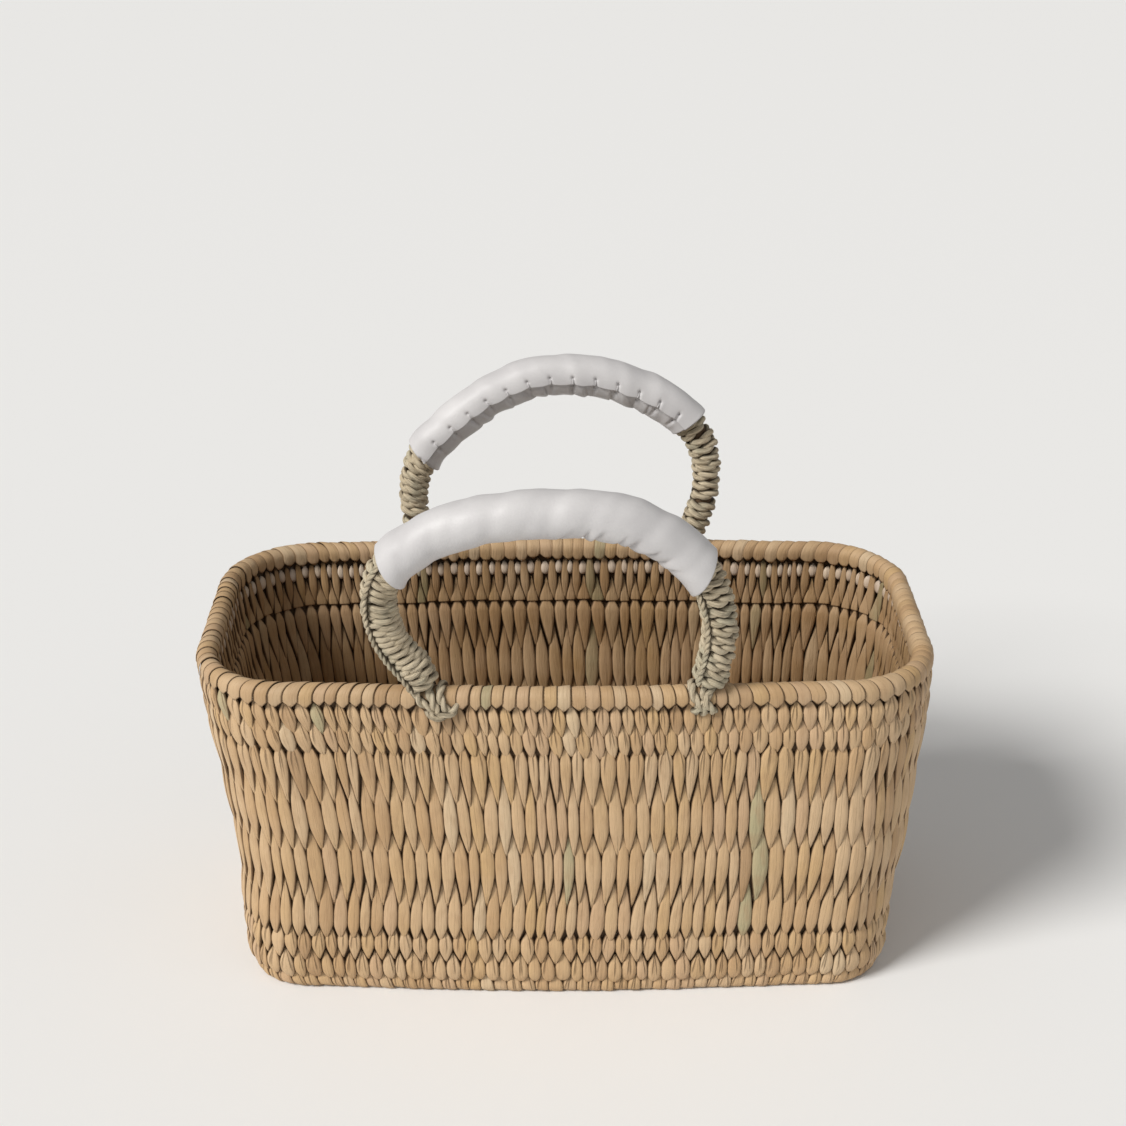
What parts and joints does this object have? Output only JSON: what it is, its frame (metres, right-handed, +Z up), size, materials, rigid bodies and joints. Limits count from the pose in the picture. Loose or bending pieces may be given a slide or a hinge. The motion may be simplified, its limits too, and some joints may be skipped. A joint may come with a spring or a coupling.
{
  "type": "woven basket shopping bag",
  "caption": "Flared oblong leaf basket bag with a wound rim and arched cord-wound handles in white leather grips.",
  "frame": {"origin": "centre of the bounding box at floor level, under the middle of the base", "axes": "+X along the basket's length to the right as seen from the front, +Y from the front to the back, +Z up"},
  "size_m": [0.3703, 0.2099, 0.2888],
  "materials": {
    "palm_leaf": "dry stitched palm leaf, matte with a faint fibre sheen",
    "rim_leaf": "dry wound palm leaf, matte",
    "grass_cord": "twisted grass cord, matte",
    "white_leather": "smooth white leather, soft sheen"
  },
  "bodies": {
    "root": {"base_panel": "palm_leaf", "lower_border": "palm_leaf", "side_wall": "palm_leaf", "upper_border": "palm_leaf", "rim_binding": "rim_leaf", "front_handle": "grass_cord", "back_handle": "grass_cord", "front_left_foot_loop": "grass_cord", "front_right_foot_loop": "grass_cord", "back_left_foot_loop": "grass_cord", "back_right_foot_loop": "grass_cord", "front_grip": "white_leather", "back_grip": "white_leather"}
  },
  "joints": []
}
